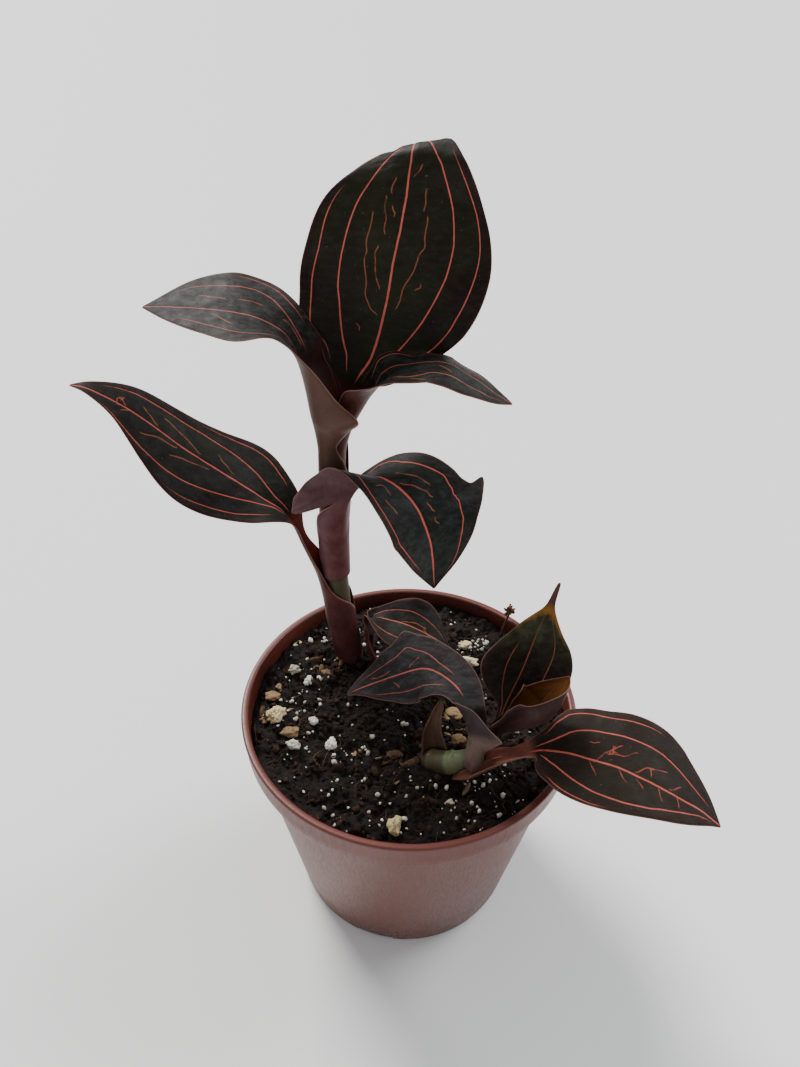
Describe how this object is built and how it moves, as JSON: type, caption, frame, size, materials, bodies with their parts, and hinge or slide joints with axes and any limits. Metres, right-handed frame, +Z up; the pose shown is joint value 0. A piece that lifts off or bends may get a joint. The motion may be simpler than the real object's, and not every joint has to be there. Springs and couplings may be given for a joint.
{
  "type": "potted plant",
  "caption": "Jewel orchid with velvety dark leaves and pink veins, growing in soil in a round tapered plastic grow pot.",
  "frame": {"origin": "middle of the pot's flat underside, on the surface the pot stands on", "axes": "+Z up, +X to the right and +Y away from a viewer in front of the side the picture shows"},
  "size_m": [0.2036, 0.1263, 0.262],
  "materials": {
    "pot_plastic": "satin terracotta-brown moulded plastic",
    "potting_soil": "rough damp peat mix with perlite grains; stone stands in for soil",
    "green_stem_skin": "smooth fleshy olive and mauve-brown skin; leather stands in for living tissue",
    "dark_leaf": "velvety blackish leaf with coral pink veins and a mauve underside",
    "young_leaf": "smooth young leaf, ochre inside and mauve-brown outside",
    "dry_leaf": "dry papery brown sheath",
    "perlite": "porous white to cream crumb",
    "bark_chip": "raw tan bark flake"
  },
  "bodies": {
    "root": {"pot": "pot_plastic", "soil": "potting_soil", "main_stem": "green_stem_skin", "side_stem": "green_stem_skin", "left_lower_leaf": "dark_leaf", "right_lower_leaf": "dark_leaf", "upper_left_leaf": "dark_leaf", "upper_right_leaf": "dark_leaf", "top_leaf": "dark_leaf", "basal_leaf": "dark_leaf", "front_leaf": "dark_leaf", "right_low_leaf": "dark_leaf", "old_leaf_sheath": "dry_leaf", "back_young_leaf": "young_leaf", "rolled_young_leaf": "young_leaf", "dried_sprig": "dry_leaf", "perlite_01": "perlite", "perlite_02": "perlite", "perlite_03": "perlite", "perlite_04": "perlite", "perlite_05": "perlite", "perlite_06": "perlite", "perlite_07": "perlite", "perlite_08": "perlite", "perlite_09": "perlite", "perlite_10": "perlite", "perlite_11": "perlite", "perlite_12": "perlite", "bark_chip_1": "bark_chip", "bark_chip_2": "bark_chip", "bark_chip_3": "bark_chip", "bark_chip_4": "bark_chip", "bark_chip_5": "bark_chip", "bark_chip_6": "bark_chip"}
  },
  "joints": []
}
